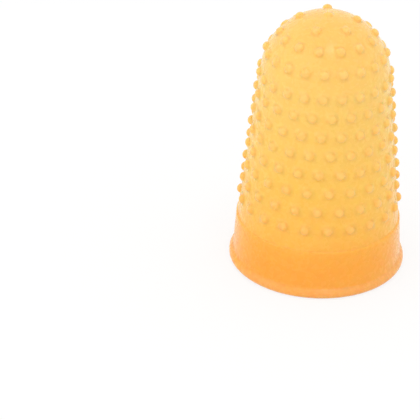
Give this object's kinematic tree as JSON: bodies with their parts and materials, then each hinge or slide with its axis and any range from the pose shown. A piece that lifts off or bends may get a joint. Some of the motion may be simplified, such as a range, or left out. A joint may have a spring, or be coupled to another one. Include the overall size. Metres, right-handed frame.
{
  "type": "rubber finger tip",
  "caption": "Soft rubber cap for a finger or thumb: a tapering wall closed by a dome, small grip pips all over, a thicker band and a flared, rounded lip at its mouth.",
  "frame": {"origin": "centre of the mouth, on the flat of the lip that the finger tip stands on", "axes": "+Z along the cap's axis from the mouth to the closed end; -Y is the front, where every second row has a pip"},
  "size_m": [0.0214, 0.0214, 0.0333],
  "materials": {
    "amber_rubber": "satin, slightly translucent"
  },
  "bodies": {
    "root": {"finger_tip": "amber_rubber"}
  },
  "joints": []
}
